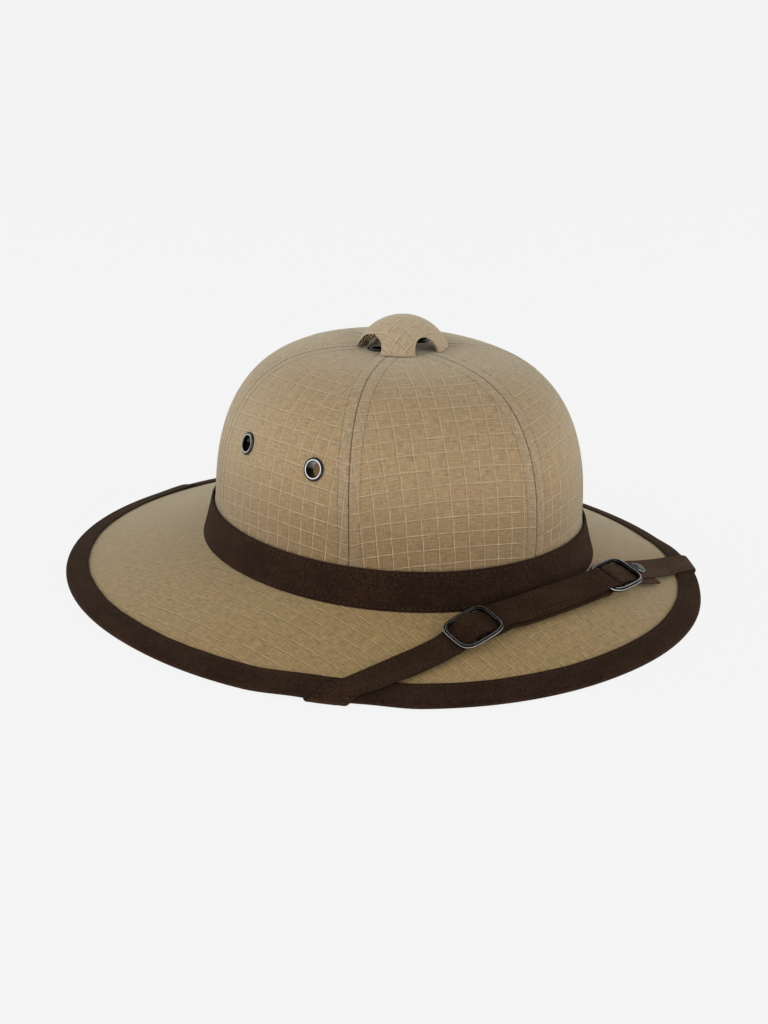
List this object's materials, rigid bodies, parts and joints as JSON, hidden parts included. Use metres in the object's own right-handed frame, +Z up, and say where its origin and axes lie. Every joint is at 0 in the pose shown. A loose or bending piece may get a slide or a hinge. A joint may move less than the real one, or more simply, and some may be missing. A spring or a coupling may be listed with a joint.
{
  "type": "pith helmet",
  "caption": "Cloth-covered sun helmet with a domed crown, a sloping oval brim, a cloth hat band, eyelets, a vented cap and a chin strap buckled over the front of the brim.",
  "frame": {"origin": "middle of the brim's plan, on the plane the brim's edge rests on", "axes": "+Z up, -Y towards the front of the helmet, +X towards the wearer's left"},
  "size_m": [0.3124, 0.3468, 0.1427],
  "materials": {
    "crown": "tan ripstop cloth, matt",
    "brim": "tan ripstop cloth, matt",
    "brim_binding": "dark brown cloth tape, matt",
    "hat_band": "dark brown cloth, matt",
    "vent_cap": "tan ripstop cloth, matt",
    "side_eyelet_right_rear": "blackened metal, semi-gloss",
    "side_eyelet_right_front": "blackened metal, semi-gloss",
    "side_eyelet_left_rear": "blackened metal, semi-gloss",
    "side_eyelet_left_front": "blackened metal, semi-gloss",
    "top_eyelet_right": "blackened metal, semi-gloss",
    "top_eyelet_left": "blackened metal, semi-gloss",
    "slider_buckle": "blackened metal wire, semi-gloss",
    "end_buckle": "blackened metal wire, semi-gloss",
    "chin_strap_long": "dark brown cloth strap, matt",
    "chin_strap_short": "dark brown cloth strap, matt",
    "strap_rivet": "blackened metal, semi-gloss"
  },
  "bodies": {
    "root": {"crown": "crown", "brim": "brim", "brim_binding": "brim_binding", "hat_band": "hat_band", "vent_cap": "vent_cap", "side_eyelet_right_rear": "side_eyelet_right_rear", "side_eyelet_right_front": "side_eyelet_right_front", "side_eyelet_left_rear": "side_eyelet_left_rear", "side_eyelet_left_front": "side_eyelet_left_front", "top_eyelet_right": "top_eyelet_right", "top_eyelet_left": "top_eyelet_left", "slider_buckle": "slider_buckle", "end_buckle": "end_buckle", "chin_strap_long": "chin_strap_long", "chin_strap_short": "chin_strap_short", "strap_rivet": "strap_rivet"}
  },
  "joints": []
}
